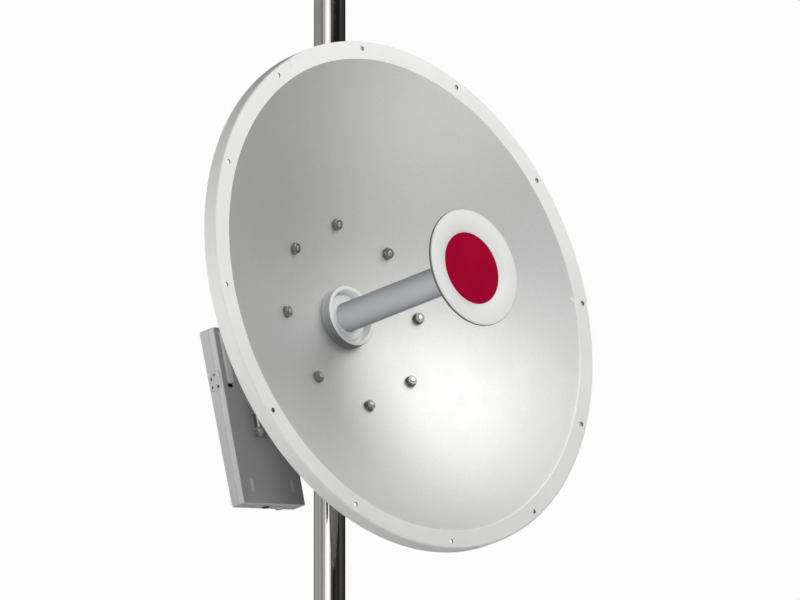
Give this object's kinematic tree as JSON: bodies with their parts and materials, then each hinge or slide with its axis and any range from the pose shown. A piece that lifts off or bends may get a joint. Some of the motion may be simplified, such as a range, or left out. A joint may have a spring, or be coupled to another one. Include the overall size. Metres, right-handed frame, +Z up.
{
  "type": "dish antenna",
  "caption": "Round solid dish antenna with a feed tube and round subreflector, held on an upright tube mast by a clamp bracket that swivels and tilts, with a slim radio case behind.",
  "frame": {"origin": "centre of the flat foot of the mast, at its lowest face", "axes": "+Z up along the mast, -Y the way the dish looks at rest (it also looks 14 degrees upwards), +X to the right for somebody who faces the dish"},
  "size_m": [0.7, 0.4419, 1.0048],
  "materials": {
    "mast_steel": "polished stainless tube",
    "black_plastic": "moulded, slightly rough",
    "bracket_paint": "light grey powder coat",
    "zinc_bolts": "bright zinc plate",
    "dish_coat": "pale grey powder coat on spun sheet",
    "white_plastic": "moulded, satin",
    "tube_coat": "blue-grey satin coat",
    "crimson_plastic": "satin, plain",
    "grey_housing": "cast, fine grain",
    "case_plastic": "moulded, fine spark texture",
    "case_rails": "moulded, satin"
  },
  "bodies": {
    "mast": {"mast_pole": "mast_steel", "mast_foot_disc": "mast_steel", "mast_top_cap": "black_plastic"},
    "mount": {"pole_bracket": "bracket_paint", "clamp_jaw_upper": "bracket_paint", "clamp_jaw_lower": "bracket_paint", "clamp_bolt_1": "zinc_bolts", "clamp_bolt_2": "zinc_bolts", "clamp_bolt_3": "zinc_bolts", "clamp_bolt_4": "zinc_bolts", "pivot_bolt": "zinc_bolts"},
    "dish": {"dish_reflector": "dish_coat", "back_plate": "bracket_paint", "reflector_bolt_1": "zinc_bolts", "reflector_bolt_2": "zinc_bolts", "reflector_bolt_3": "zinc_bolts", "reflector_bolt_4": "zinc_bolts", "reflector_bolt_5": "zinc_bolts", "reflector_bolt_6": "zinc_bolts", "reflector_bolt_7": "zinc_bolts", "reflector_bolt_8": "zinc_bolts", "tilt_bracket": "bracket_paint", "tilt_lock_bolt": "zinc_bolts", "feed_collar": "white_plastic", "feed_tube": "tube_coat", "feed_cone": "white_plastic", "subreflector": "white_plastic", "centre_disc": "crimson_plastic", "feed_housing": "grey_housing", "feed_socket_left": "zinc_bolts", "feed_socket_right": "zinc_bolts", "radio_arm": "bracket_paint", "radio_clip": "bracket_paint", "radio_clip_bolt": "zinc_bolts", "case_base": "case_plastic", "case_cover": "case_plastic", "case_latch": "case_plastic", "case_rail_left": "case_rails", "case_rail_right": "case_rails", "cable_gland": "black_plastic", "case_vent": "case_rails"}
  },
  "joints": [
    {"name": "swivel", "type": "hinge", "parent": "mast", "child": "mount", "pos_m": [0, 0, 0.51], "axis": [0, 0, 1], "continuous": true},
    {"name": "tilt", "type": "hinge", "parent": "mount", "child": "dish", "pos_m": [-0.046, -0.0596, 0.51], "axis": [-1, 0, 0], "range_deg": [-20, 20]}
  ]
}
